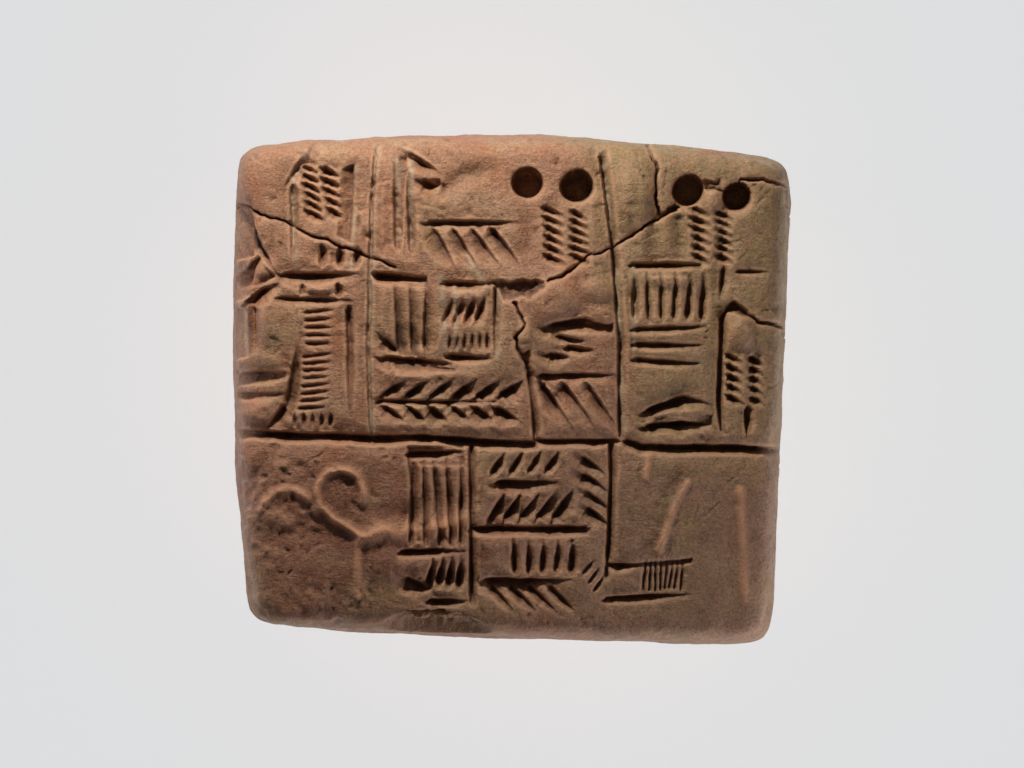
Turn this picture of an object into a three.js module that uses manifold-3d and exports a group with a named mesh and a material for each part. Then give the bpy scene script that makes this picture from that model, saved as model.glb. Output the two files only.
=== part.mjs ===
// A small clay tablet of the early writing age, lying on its back with the written face up.
// Millimetres, +Z up. X runs along the longest side and Y along the other side of the face.
// The origin is under the middle of the tablet, on the surface that it lies on.
import * as THREE from 'three';
import { mergeVertices } from 'three/addons/utils/BufferGeometryUtils.js';
import Module from 'manifold-3d';

const wasm = await Module();
wasm.setup();

// ---- Driving dimensions -------------------------------------------------------------------

// Heights above the surface it lies on.
const THICKNESS = 41.2;
const WAIST = 21; // the widest line round the sides
const CROWN = 2; // rise of the written face from its edges to its middle
const REST_CUT = 0.4; // what the flat resting spot takes off the swelling back

// Where the four edges of the plan would meet if its corners were sharp, and how far each edge
// bows outwards at its middle.
const LOWER_LEFT = [-28.3, -25.3];
const LOWER_RIGHT = [27.8, -27.4];
const UPPER_RIGHT = [30.1, 24.8];
const UPPER_LEFT = [-29.5, 26.1];
const BOW = { left: 1.0, right: 0.2, top: 1.9, bottom: 0.5 };
const HALF_LENGTH = 29.4;
const HALF_WIDTH = 26.4;

// Powers of the curves: a high power gives a tight corner and a flat middle.
const PLAN_POWER = 24;
const RIM_POWER = 44;
const EDGE_POWER = 3;
const BACK_POWER = 3;
const BACK_CENTRE_POWER = 2.4;
const BACK_BLEND = 6;

// Rings of the two skins, from the middle of a face (0) to the widest line (1).
const FRONT_RINGS = [0, 0.42, 0.78, 0.91, 0.955, 0.98, 0.992, 0.998, 1];
const BACK_RINGS = [0, 0.22, 0.45, 0.65, 0.8, 0.91, 0.97, 0.994, 1];

// Tool marks.
const RULE = { width: 0.95, depth: 0.95 };
const STROKE = { width: 0.8, depth: 0.7 };
const FINE = { width: 0.5, depth: 0.45 };
const BROAD = { width: 1.9, depth: 0.55 };
const CRACK = { width: 0.4, depth: 1.1 };
const ROUND = { depth: 3.2, lean: 0.7, taper: 0.82 };
const CLEAR = 1.6; // how far a cutter stands out of the face
const SINK = 0.5; // how far a raised form reaches into the body

// ---- The body -----------------------------------------------------------------------------

// A point of the plan from its place across (-1 to 1) and along (-1 to 1).
function plan(u, v) {
  const left = (1 - u) / 2;
  const right = (1 + u) / 2;
  const low = (1 - v) / 2;
  const high = (1 + v) / 2;
  const blend = (axis) =>
    low * (left * LOWER_LEFT[axis] + right * LOWER_RIGHT[axis]) +
    high * (left * UPPER_LEFT[axis] + right * UPPER_RIGHT[axis]);
  const x = blend(0) + (1 - v * v) * (right * BOW.right - left * BOW.left);
  const y = blend(1) + (1 - u * u) * (high * BOW.top - low * BOW.bottom);
  return [x, y];
}

// The height of the written face over a place of the plan.
function faceHeight(u, v) {
  const size = (Math.abs(u) ** PLAN_POWER + Math.abs(v) ** PLAN_POWER) ** (1 / PLAN_POWER);
  const rim = Math.max(0, 1 - size ** RIM_POWER) ** (1 / EDGE_POWER);
  const crown = Math.max(0, 1 - u * u) * Math.max(0, 1 - v * v);
  return WAIST + (THICKNESS - WAIST - CROWN * (1 - crown)) * rim;
}

// The place (u, v) of a point given in millimetres, found by closing in on it.
function place(x, y) {
  let u = x / HALF_LENGTH;
  let v = y / HALF_WIDTH;
  for (let turn = 0; turn < 8; turn++) {
    const [px, py] = plan(u, v);
    u += (x - px) / HALF_LENGTH;
    v += (y - py) / HALF_WIDTH;
  }
  return [u, v];
}

function heightAt(x, y) {
  return faceHeight(...place(x, y));
}

// How much longer the face is than its plan at a point: 1 where it is level, more on the rim.
function steepness(x, y) {
  const step = 0.05;
  const dx = (heightAt(x + step, y) - heightAt(x - step, y)) / (2 * step);
  const dy = (heightAt(x, y + step) - heightAt(x, y - step)) / (2 * step);
  return Math.hypot(1, dx, dy);
}

// The direction of a ring's point: steps along a side crowd towards its corners.
function sideStep(share) {
  return 0.55 * share + 0.45 * Math.sin((share * Math.PI) / 2);
}

// One skin of the body, a square net whose square rings become ever rounder outlines.
function skinPoint(i, j, back) {
  const ring = Math.max(Math.abs(i), Math.abs(j));
  const size = (back ? BACK_RINGS : FRONT_RINGS)[ring];
  const u = ring ? sideStep(i / ring) : 0;
  const v = ring ? sideStep(j / ring) : 0;
  const growth = back ? size ** BACK_BLEND : 1;
  const power = BACK_CENTRE_POWER + (PLAN_POWER - BACK_CENTRE_POWER) * growth;
  const norm = (Math.abs(u) ** power + Math.abs(v) ** power) ** (1 / power) || 1;
  const at = [(size * u) / norm, (size * v) / norm];
  const depth = (WAIST + REST_CUT) * (1 - size ** BACK_POWER) ** (1 / BACK_POWER);
  const z = back ? WAIST - depth : faceHeight(...at);
  return [...plan(...at), size < 1 ? z : WAIST];
}

function bodyGeometry() {
  const rings = FRONT_RINGS.length - 1;
  const span = 2 * rings + 1;
  const positions = [];
  const index = [];
  for (const back of [false, true]) {
    const first = positions.length / 3;
    for (let i = -rings; i <= rings; i++) {
      for (let j = -rings; j <= rings; j++) {
        positions.push(...skinPoint(i, j, back));
      }
    }
    const id = (i, j) => first + (i + rings) * span + (j + rings);
    const add = (a, b, c) => index.push(...(back ? [a, c, b] : [a, b, c]));
    for (let i = -rings; i < rings; i++) {
      for (let j = -rings; j < rings; j++) {
        const corners = [id(i, j), id(i + 1, j), id(i + 1, j + 1), id(i, j + 1)];
        const turn = (i + 0.5) * (j + 0.5) > 0 ? 0 : 1;
        const [a, b, c, d] = [0, 1, 2, 3].map((k) => corners[(k + turn) % 4]);
        add(a, b, c);
        add(a, c, d);
      }
    }
  }
  return indexed(positions, index);
}

function indexed(positions, index) {
  const geometry = new THREE.BufferGeometry();
  geometry.setAttribute('position', new THREE.Float32BufferAttribute(positions, 3));
  geometry.setIndex(index);
  return geometry;
}

// ---- Solids for joining and cutting -------------------------------------------------------

function solid(geometry) {
  geometry.deleteAttribute('normal');
  geometry.deleteAttribute('uv');
  const merged = mergeVertices(geometry, 1e-4);
  const mesh = new wasm.Mesh({
    numProp: 3,
    vertProperties: new Float32Array(merged.attributes.position.array),
    triVerts: new Uint32Array(merged.index.array),
  });
  return new wasm.Manifold(mesh);
}

// A closed solid through rings of equal numbers of points, each ring turning anticlockwise when
// it is looked at against the direction of the loft.
function loft(rings) {
  const count = rings[0].length;
  const index = [];
  for (let k = 0; k + 1 < rings.length; k++) {
    for (let m = 0; m < count; m++) {
      const next = (m + 1) % count;
      const [a, b] = [k * count + m, k * count + next];
      const [c, d] = [b + count, a + count];
      index.push(a, b, c, a, c, d);
    }
  }
  const last = (rings.length - 1) * count;
  for (let m = 1; m + 1 < count; m++) {
    index.push(0, m + 1, m);
    index.push(last, last + m, last + m + 1);
  }
  return solid(indexed(rings.flat(2), index));
}

// A path broken into steps that are short enough to keep to the face, shorter on the rim.
function follow(points) {
  const path = [points[0]];
  for (let k = 0; k + 1 < points.length; k++) {
    const [[x0, y0], [x1, y1]] = [points[k], points[k + 1]];
    const middle = place((x0 + x1) / 2, (y0 + y1) / 2);
    const step = Math.max(...middle.map(Math.abs)) > 0.9 ? 1.5 : 9;
    const steps = Math.ceil(Math.hypot(x1 - x0, y1 - y0) / step);
    for (let n = 1; n <= steps; n++) {
      path.push([x0 + ((x1 - x0) * n) / steps, y0 + ((y1 - y0) * n) / steps]);
    }
  }
  return path;
}

// Copies of a section [across, up] along a path over the face. size(share) gives its size at
// each share of the path as [across, up].
function sweep(points, section, size) {
  const path = follow(points);
  const rings = path.map(([x, y], k) => {
    const before = path[Math.max(0, k - 1)];
    const after = path[Math.min(path.length - 1, k + 1)];
    const length = Math.hypot(after[0] - before[0], after[1] - before[1]);
    const across = [(before[1] - after[1]) / length, (after[0] - before[0]) / length];
    const [wide, tall] = size(k / (path.length - 1));
    const z = heightAt(x, y);
    const deep = tall * Math.min(3, steepness(x, y));
    return section.map(([a, up]) => [
      x + across[0] * a * wide,
      y + across[1] * a * wide,
      z + (up < 0 ? up * deep : up),
    ]);
  });
  return loft(rings);
}

// A pressed line with a V-shaped bed.
function groove(points, { width, depth }, ends = [0.7, 0.5]) {
  const section = [
    [-0.5, CLEAR],
    [-0.5, 0],
    [0, -1],
    [0.5, 0],
    [0.5, CLEAR],
  ];
  const size = (share) => {
    const head = Math.min(1, ends[0] + 4 * share);
    const tail = Math.min(1, ends[1] + 4 * (1 - share));
    const scale = Math.min(head, tail);
    return [width * scale, depth * scale];
  };
  return sweep(points, section, size);
}

// A low raised band with sloping sides.
function band(points, width, height) {
  const section = [
    [-0.5, -1],
    [0.5, -1],
    [0.5, 0],
    [0.2, height],
    [-0.2, height],
    [-0.5, 0],
  ];
  return sweep(points, section, () => [width, SINK]);
}

// A shallow swelling of the face.
function dome(x, y, radiusX, radiusY, height) {
  const depth = 3 * height;
  const spread = Math.sqrt(1 - ((depth - height) / depth) ** 2);
  const geometry = new THREE.IcosahedronGeometry(1, 1);
  geometry.scale(radiusX / spread, radiusY / spread, depth);
  geometry.translate(x, y, heightAt(x, y) + height - depth);
  return solid(geometry);
}

// A piece lost from the face: sloping walls down to a level bed.
function loss(points, depth) {
  const centre = [0, 1].map((a) => points.reduce((sum, p) => sum + p[a], 0) / points.length);
  const floor = heightAt(...centre) - depth;
  const inner = points.map((p) => p.map((c, a) => centre[a] + (c - centre[a]) * 0.72));
  const rings = [
    inner.map(([x, y]) => [x, y, floor]),
    points.map(([x, y]) => [x, y, floor + depth]),
    points.map(([x, y]) => [x, y, floor + depth + CLEAR]),
  ];
  return loft(rings);
}

// A deep round mark of a reed's end, leaning away from the writer.
function roundMark([x, y, radius]) {
  const length = ROUND.depth + CLEAR;
  const geometry = new THREE.CylinderGeometry(radius, radius * ROUND.taper, length, 18);
  geometry.rotateX(Math.PI / 2);
  geometry.translate(0, 0, (CLEAR - ROUND.depth) / 2);
  const lean = new THREE.Matrix4().makeShear(0, 0, 0, 0, 0, -ROUND.lean / ROUND.depth);
  geometry.applyMatrix4(lean);
  geometry.translate(x, y, heightAt(x, y));
  return solid(geometry);
}

// A nick in the outline where a crack or a rule runs over the edge and down the side.
function nick([x, y, low, width, depth]) {
  const outward = new THREE.Vector2(x, y).normalize();
  const across = [-outward.y, outward.x];
  const triangle = [
    [-depth, 0],
    [CLEAR, -width],
    [CLEAR, width],
  ];
  const ring = (z, scale) =>
    triangle.map(([out, side]) => [
      x + outward.x * out * (out < 0 ? scale : 1) + across[0] * side,
      y + outward.y * out * (out < 0 ? scale : 1) + across[1] * side,
      z,
    ]);
  return loft([ring(low, 0.2), ring((low + THICKNESS) / 2, 1), ring(THICKNESS, 1)]);
}

// ---- What is on the face ------------------------------------------------------------------

// A row of like strokes: their middles run from one point to another, and each lies at an angle.
function row(from, to, count, length, angle, mark = STROKE) {
  return Array.from({ length: count }, (_, k) => {
    const share = count > 1 ? k / (count - 1) : 0;
    const uneven = Math.sin(7.3 * k + 3.1 * from[0] + from[1]);
    const turn = ((angle + 4 * uneven) * Math.PI) / 180;
    const reach = (length * (1 + 0.07 * uneven)) / 2;
    const x = from[0] + (to[0] - from[0]) * share;
    const y = from[1] + (to[1] - from[1]) * share;
    const arm = [Math.cos(turn) * reach, Math.sin(turn) * reach];
    return { points: [[x - arm[0], y - arm[1]], [x + arm[0], y + arm[1]]], mark };
  });
}

function line(points, mark = STROKE) {
  return { points, mark };
}

// Points along an arc, from one angle to another.
function arc(x, y, radius, start, end, steps) {
  return Array.from({ length: steps + 1 }, (_, k) => {
    const angle = ((start + ((end - start) * k) / steps) * Math.PI) / 180;
    return [x + radius * Math.cos(angle), y + radius * Math.sin(angle)];
  });
}

// The lines that part the face into cases.
const rules = [
  [[-29.6, -4.5], [-22.6, -4.9], [-14.8, -5.1], [-8, -5.1], [-4.2, -5.5], [2.4, -5.8]],
  [[2.7, -5.5], [11.2, -5.5]],
  [[12.4, -5.6], [13.9, -6.1], [23, -6.2], [28.4, -6.4]],
  [[-14.4, 26], [-15, 20.2], [-15.2, 9.6], [-15.4, 5.3], [-15, -4.8]],
  [[9.6, 25.2], [10.1, 21.2], [10.8, 15.1], [11.2, 9.7], [11.6, 5.5], [11.6, -5]],
  [[1.8, 1.7], [2.3, -2.1], [2.5, -5.5]],
  [[22.5, 7.7], [22.2, -1.7], [22.5, -4.3]],
  [[-4.3, -5.8], [-4.3, -22.8]],
  [[-4.2, -14.9], [7.8, -14.9]],
  [[10.6, -5.8], [10.7, -9.5], [10.4, -16.1], [10.1, -19.8]],
].map((points) => line(points, RULE));

// Rows of strokes that say nothing, case by case.
const strokes = [
  // upper left case
  row([-21.5, 23.6], [-20.9, 18.6], 6, 1.9, -32),
  row([-19.3, 23.2], [-18.8, 18.9], 5, 1.7, -32),
  line([[-22, 25.3], [-24.2, 21.7]]),
  line([[-23.5, 21.6], [-23.4, 13.8]]),
  line([[-17, 23.4], [-17.6, 16.2]], BROAD),
  row([-20.4, 14.6], [-16.6, 14.4], 3, 1.9, 86),
  line([[-24.2, 12.3], [-16.2, 12.3]]),
  line([[-24.8, 9.8], [-17.2, 9.5]]),
  row([-22.4, 11], [-18.6, 11], 2, 1.7, 90),
  row([-20.5, 8.4], [-20.5, 4.9], 5, 2.9, 0, FINE),
  line([[-17.6, 8.4], [-17.2, -2.8]]),
  row([-20.6, 3.7], [-21.2, -1.9], 8, 3.1, 4, FINE),
  line([[-24, -1.4], [-22.9, 4.6]]),
  row([-23.2, -3], [-19.4, -3.1], 5, 1.4, 88, FINE),
  // edge of the same case, cut more deeply
  line([[-28.6, 19], [-26.8, 15.4], [-24.9, 12]], RULE),
  line([[-29, 12.2], [-26.4, 14.6]], RULE),
  line([[-28.4, 9.4], [-26.6, 10.6], [-24.6, 11.3]]),
  line([[-28.1, 8.9], [-28, 3.6]]),
  line([[-28.9, 1.7], [-23.6, 1.8]], RULE),
  line([[-28.9, -0.5], [-24.3, -0.5]]),
  line([[-24.4, -1.8], [-26.3, -4.2]]),
  // upper middle case
  row([-12.4, 20.2], [-11, 20], 2, 9.4, 88),
  line([[-11, 25.4], [-7.9, 23.3]]),
  line([[-9.4, 22.3], [-7.7, 21.7]], RULE),
  line([[-8.2, 20.6], [-5, 22.9], [-2.3, 23.5]], BROAD),
  line([[-8.8, 17.9], [0.6, 17.9]], RULE),
  row([-7.2, 15.2], [-0.6, 15.2], 4, 4.6, -58),
  line([[1.8, 19.4], [1.9, 13.8]], BROAD),
  row([4.6, 19], [4.9, 13.8], 6, 2.2, -30),
  row([7.4, 18.6], [7.6, 13.9], 6, 1.9, -30),
  line([[-14.8, 12.3], [-9, 11.9]], RULE),
  row([-12.3, 8], [-9.2, 8], 3, 7.2, 89),
  line([[-7.2, 11.3], [-2, 11.3]]),
  row([-6.8, 8.4], [-3.4, 8.7], 4, 2.6, 68),
  row([-6.6, 5.2], [-2.6, 5.3], 6, 1.7, 88, FINE),
  line([[-1.7, 10.8], [-1.7, 3.6]]),
  line([[-13.6, 5.4], [-11.7, 3.5]]),
  line([[-13.4, 3.4], [-6, 2.7]]),
  line([[-6.6, 3.6], [-2, 3.3]]),
  row([-12.6, 0.2], [0, 0.2], 6, 2.9, 34),
  line([[-14.2, -1.3], [1.2, -1.3]]),
  row([-12.4, -2.7], [-0.4, -2.7], 6, 2.7, -34),
  // small case beside it
  line([[3.9, 6.9], [7.8, 7.5], [11, 6.7]]),
  row([6.4, 5.4], [7.4, 4.3], 2, 2.7, -12),
  line([[4.1, 3.8], [6.2, 3.4]], RULE),
  line([[3.2, 1.6], [11.1, 1.6]]),
  row([4.8, -1.7], [9.6, -1.7], 3, 5.4, -58),
  // upper right case
  line([[12.9, 18.9], [12.8, 16]], BROAD),
  row([15.3, 16.8], [18.1, 16.8], 2, 4.8, 90, BROAD),
  row([20.4, 19], [20.6, 13.8], 6, 2, -32),
  row([22.9, 18.6], [23, 13.9], 6, 1.8, -32),
  line([[22.6, 12.9], [22.4, 9.8]]),
  line([[12.9, 13.4], [20.5, 13.4]]),
  row([13.1, 10.2], [20.4, 10.2], 6, 4.8, 89),
  row([17, 6.6], [16.8, 3], 3, 7.6, 0),
  line([[14.5, -2.2], [18.4, -0.9], [21.3, -1.5]]),
  line([[14.5, -3.9], [18.4, -3.5], [21.6, -4]]),
  line([[24.2, 12.7], [27.4, 12.5]], FINE),
  row([24, 3.3], [24.1, -1.1], 5, 1.9, -32),
  row([26.3, 3], [26.4, -1.2], 5, 1.6, -32),
  line([[25.2, -2], [25.2, -5.2]]),
  // lower middle cases
  line([[-10.9, -6.8], [-5.2, -6.7]]),
  row([-10.6, -11.8], [-5.4, -11.8], 5, 9, 90),
  line([[-11.7, -17.3], [-4.9, -17.2]]),
  row([-8.6, -19.3], [-5.6, -19.4], 4, 3, 80),
  line([[-11.2, -20.2], [-8.6, -21.5]]),
  line([[-8.8, -22.7], [-4.9, -22.7]]),
  row([-1.4, -7.8], [4.4, -7.6], 4, 2.4, 54),
  line([[-1.6, -9.9], [5, -9.9]]),
  row([-1.5, -12.3], [5.5, -12.2], 5, 3.8, 56),
  row([8.8, -8.2], [9.2, -13.6], 4, 2.9, -38),
  row([0.2, -17.8], [6.4, -17.8], 5, 3.4, 90),
  line([[-2.8, -20.4], [6.4, -20.4]]),
  row([-1, -22.4], [5.4, -22.4], 4, 3.7, -46),
  row([8.2, -18.9], [9.4, -20.6], 3, 1.8, 50, FINE),
  row([14.2, -19.7], [18.2, -19.7], 8, 3.4, 88, FINE),
  line([[10.2, -18.8], [13.2, -18.9]]),
  line([[10.2, -22.4], [19, -21.9]]),
].flat();

// Round marks: x, y and radius.
const roundMarks = [
  [1.7, 22.1, 1.75],
  [7, 21.8, 1.85],
  [18.9, 21.3, 1.75],
  [24.1, 20.6, 1.6],
];

// Cracks between the rejoined pieces.
const cracks = [
  [[-29.4, 20.2], [-26.1, 18.5], [-19.7, 16], [-17.6, 15], [-12.6, 13.3]],
  [[10.9, 15.1], [14.4, 17.6], [17.8, 19.6]],
  [[20.2, 22], [22.5, 21.3], [24.3, 22.5], [27.6, 22.4], [29.3, 21.6]],
  [[14.4, 26], [15.3, 24.3], [15.7, 18.9]],
  [[10.6, 15.1], [8.1, 14.3], [6.8, 13], [3.9, 11.5]],
  [[0.4, 9.4], [1.4, 7], [0.5, 5.3], [1.6, 2.6], [1.8, 1.5]],
  [[22.5, 7.7], [23.9, 9.2], [26.3, 7.2], [28.6, 6.7]],
].map((points) => line(points, CRACK));

// Pieces lost from the face.
const losses = [
  [[[-2.6, 11.6], [-0.9, 9.6], [2.1, 9.5], [3.7, 10.8], [3.6, 11.6], [-1.2, 11.9]], 0.9],
  [[[15.2, 18], [17.9, 19], [17.6, 20.2], [15.7, 19]], 1.1],
  [[[20.4, 22.6], [20.8, 21.2], [22.4, 21.2], [22.2, 22.8]], 0.7],
  [[[22.7, 7.9], [24.4, 7.9], [26.2, 7.4], [25.4, 8.7], [23.9, 9.5]], 1.1],
  [[[0.8, 4.4], [1.4, 2.1], [2.2, 2.1], [1.9, 4.2]], 1.0],
];

// Low swellings: x, y, the two radii and the height.
const swellings = [
  [13.1, 20.2, 1.9, 2.9, 0.45],
  [4.5, 9.3, 2.7, 3, 0.5],
  [24.4, 6.1, 1.5, 1.9, 0.7],
  [1.5, 6, 0.8, 1.6, 0.5],
  [-10.4, -18.2, 5, 3, 0.45],
  [-24.8, -13.9, 1.6, 1.1, 0.35],
];

// Worn relief of a rolled seal: an animal's curled tail, its back and a leg, and plain ridges.
const tail = [...arc(-18.3, -11.1, 2.5, -20, 215, 7), [-18.9, -13.9], [-15.9, -15.6]];
const reliefs = [
  [tail, 1.1, 0.5],
  [[[-15.9, -15.6], [-14.4, -14.9], [-10.9, -14.8], [-5.4, -14.3]], 1.2, 0.5],
  [[[-16.3, -16.4], [-16.5, -22]], 0.9, 0.35],
  [arc(-23.8, -13.6, 2.9, 165, 15, 5), 1, 0.4],
  [[[18.8, -10], [17.2, -12.9], [15.7, -17.2]], 0.9, 0.45],
  [[[14.8, -6.9], [14.4, -9.4]], 0.9, 0.35],
  [[[24.4, -10.8], [25, -22.4]], 0.9, 0.3],
];

// Nicks in the outline: x, y, the height where each runs out, its width and its depth.
const nicks = [
  [-30, 20.6, 22, 0.7, 0.8],
  [-30, 1.9, 27, 0.6, 0.7],
  [14.5, 26.6, 20, 0.5, 0.8],
  [30.2, 21.7, 24, 0.6, 0.8],
  [-14.5, 27, 31, 0.5, 0.6],
  [12.2, -27.2, 31, 0.7, 0.7],
];

// ---- Assembly -----------------------------------------------------------------------------

// The arched chip of the lower edge: a bite with the shape of a lying egg.
function edgeBite() {
  const geometry = new THREE.IcosahedronGeometry(1, 2);
  geometry.scale(7.2, 4.2, 3.2);
  geometry.rotateZ(-0.17);
  geometry.translate(-7.6, -27.6, heightAt(-7.6, -24) - 0.4);
  return solid(geometry);
}

function restFlat() {
  const geometry = new THREE.BoxGeometry(80, 80, 10);
  geometry.translate(0, 0, -5);
  return solid(geometry);
}

function carve() {
  let clay = solid(bodyGeometry()).subtract(restFlat());
  for (const [x, y, radiusX, radiusY, height] of swellings) {
    clay = clay.add(dome(x, y, radiusX, radiusY, height));
  }
  for (const [points, width, height] of reliefs) {
    clay = clay.add(band(points, width, height));
  }
  for (const { points, mark } of [...rules, ...strokes, ...cracks]) {
    clay = clay.subtract(groove(points, mark));
  }
  const bites = [
    ...losses.map(([points, depth]) => loss(points, depth)),
    ...roundMarks.map(roundMark),
    ...nicks.map(nick),
    edgeBite(),
  ];
  for (const bite of bites) {
    clay = clay.subtract(bite);
  }
  return clay;
}

function toGeometry(manifold) {
  const { vertProperties, triVerts } = manifold.getMesh();
  const geometry = new THREE.BufferGeometry();
  geometry.setAttribute('position', new THREE.BufferAttribute(vertProperties, 3));
  geometry.setIndex(new THREE.BufferAttribute(triVerts, 1));
  geometry.computeVertexNormals();
  return geometry;
}

const clayMaterial = new THREE.MeshStandardMaterial({
  color: 0x9d7353,
  roughness: 0.72,
  metalness: 0,
});

const tablet = new THREE.Mesh(toGeometry(carve()), clayMaterial);
tablet.name = 'tablet';

const group = new THREE.Group();
group.add(tablet);
export default group;
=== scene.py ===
import math

import bpy
import numpy as np
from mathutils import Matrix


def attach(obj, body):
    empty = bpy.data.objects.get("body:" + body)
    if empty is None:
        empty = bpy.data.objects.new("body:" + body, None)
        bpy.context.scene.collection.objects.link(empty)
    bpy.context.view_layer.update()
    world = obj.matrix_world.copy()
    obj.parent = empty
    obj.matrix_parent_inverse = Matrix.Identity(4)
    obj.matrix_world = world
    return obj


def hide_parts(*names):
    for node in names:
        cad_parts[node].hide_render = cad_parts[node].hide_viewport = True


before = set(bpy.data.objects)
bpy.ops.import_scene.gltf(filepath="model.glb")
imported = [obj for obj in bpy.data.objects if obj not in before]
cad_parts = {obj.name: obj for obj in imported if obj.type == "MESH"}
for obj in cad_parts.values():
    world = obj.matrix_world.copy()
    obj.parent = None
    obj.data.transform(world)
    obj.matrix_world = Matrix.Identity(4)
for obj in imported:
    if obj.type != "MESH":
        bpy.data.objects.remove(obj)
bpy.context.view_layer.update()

MM = 0.001

# ---- The body: the same named sizes as the solid ------------------------------------------------

THICKNESS = 41.2
WAIST = 21.0
CROWN = 2.0
REST_CUT = 0.4
LOWER_LEFT = (-28.3, -25.3)
LOWER_RIGHT = (27.8, -27.4)
UPPER_RIGHT = (30.1, 24.8)
UPPER_LEFT = (-29.5, 26.1)
BOW_LEFT, BOW_RIGHT, BOW_TOP, BOW_BOTTOM = 1.0, 0.2, 1.9, 0.5
PLAN_POWER = 24
RIM_POWER = 44
EDGE_POWER = 3
BACK_POWER = 3
BACK_CENTRE_POWER = 2.4
BACK_BLEND = 6
HALF_SPAN = 27          # from the middle to the waist

# The face's relief and colours fade out between these heights of the rim.
RELIEF_FADE = (33.5, 38)
COLOUR_FADE = (33, 38)

# The breaks that run round the sides and back.
SEAM_WIDTH = 0.22
SEAM_DEPTH = 0.5

# Net sizes: rings from the middle of a face to the waist. The back has half as many.
FACE_RINGS = 360
BACK_RINGS = FACE_RINGS // 2
INNER_RINGS = 275       # rings of the face inside INNER_SIZE, evenly spaced
INNER_SIZE = 0.965
CURVE_STEPS = 4001      # steps in which a skin's curve is measured
MAX_TRIANGLES = 190_000

# The relief of the face is worked out on a square raster.
PITCH = 0.1
REACH_X, REACH_Y = 31.5, 29.5
SCARS = 420
SCRATCHES = 130

# Tool marks: the width of the steep wall, the width of the sloping wall, and the depth.
RULE = (0.36, 0.85, 1.15)
STROKE = (0.26, 0.72, 0.9)
FINE = (0.2, 0.36, 0.5)
WEDGE = (0.26, 1.7, 1.0)
THIN = (0.2, 0.3, 0.8)
BROAD = (1.1, 1.1, 0.65)
CRACK = (0.3, 1.1)

# How far the clay beside a mark is drawn down, as shares of its depth, and how wide.
SHOULDERS = ((0.18, 0.5), (0.52, 1.35))


def smooth(low, high, x):
    """0 below low, 1 above high, with a soft step between them."""
    t = np.clip((x - low) / (high - low), 0, 1)
    return t * t * (3 - 2 * t)


# ---- Noise --------------------------------------------------------------------------------------

TABLE = 64
TABLE_SHIFT = 17.3      # keeps the corners of the cells off the body's axes
_tables = {}


def lattice(points, cell, seed):
    """Smooth random values from -1 to 1 at 3-D points, with features about one cell across."""
    if seed not in _tables:
        _tables[seed] = np.random.default_rng(seed).uniform(-1, 1, TABLE**3).astype(np.float32)
    table = _tables[seed]
    at = points / cell + TABLE_SHIFT
    low = np.floor(at)
    t = (at - low).astype(np.float32)
    t = t * t * (3 - 2 * t)
    low = low.astype(np.int64)
    total = 0
    for corner in range(8):
        weight = 1
        index = 0
        for axis in range(3):
            bit = corner >> axis & 1
            share = t[..., axis]
            weight = weight * (share if bit else 1 - share)
            index = index * TABLE + (low[..., axis] + bit) % TABLE
        total = total + weight * table[index]
    return total


def fractal(points, cell, seed, octaves=3, gain=0.5):
    """A sum of lattices, each with half the cell of the one before and weaker by gain."""
    total, size = 0, 1.0
    for n in range(octaves):
        total = total + size * lattice(points, cell / 2**n, seed + n)
        size *= gain
    return total


# ---- The marks on the face ----------------------------------------------------------------------

def row(start, end, count, length, angle, mark=STROKE):
    """Like strokes whose middles run from start to end, each lying at an angle in degrees."""
    strokes = []
    for k in range(count):
        share = k / (count - 1)
        uneven = math.sin(7.3 * k + 3.1 * start[0] + start[1])
        turn = math.radians(angle + 4 * uneven)
        reach = length * (1 + 0.07 * uneven) / 2
        x = start[0] + (end[0] - start[0]) * share
        y = start[1] + (end[1] - start[1]) * share
        arm = (math.cos(turn) * reach, math.sin(turn) * reach)
        strokes.append(([(x - arm[0], y - arm[1]), (x + arm[0], y + arm[1])], mark))
    return strokes


def line(points, mark=STROKE):
    """One stroke through some points."""
    return [(points, mark)]


def arc(x, y, radius, start, end, steps):
    """Points on a part of a circle, from one angle in degrees to another."""
    angles = np.radians(np.linspace(start, end, steps + 1))
    return [(x + radius * math.cos(a), y + radius * math.sin(a)) for a in angles]


# The rulings between the cases.
LEFT_RULE = [(-14.4, 26.2), (-15, 20.2), (-15.2, 9.6), (-15.4, 5.3), (-15, -4.8)]
RIGHT_RULE = [(9.6, 25.2), (10.1, 21.2), (10.8, 15.1), (11.2, 9.7), (11.6, 5.5), (11.6, -5)]
RULES = [
    ([(-29.8, -4.5), (-22.6, -4.9), (-14.8, -5.1), (-8, -5.1), (-4.2, -5.5), (2.4, -5.8)], RULE),
    ([(2.7, -5.5), (11.2, -5.5)], STROKE),
    ([(12.4, -5.6), (13.9, -6.1), (23, -6.2), (28.6, -6.4)], RULE),
    (LEFT_RULE, THIN),
    (RIGHT_RULE, STROKE),
    ([(1.8, 1.7), (2.3, -2.1), (2.5, -5.5)], STROKE),
    ([(22.5, 7.7), (22.2, -1.7), (22.5, -4.3)], STROKE),
    ([(-4.3, -5.8), (-4.3, -22.8)], STROKE),
    ([(-4.2, -14.9), (7.8, -14.9)], RULE),
    ([(10.6, -5.8), (10.7, -9.5), (10.4, -16.1), (10.1, -19.8)], STROKE),
]

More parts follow.
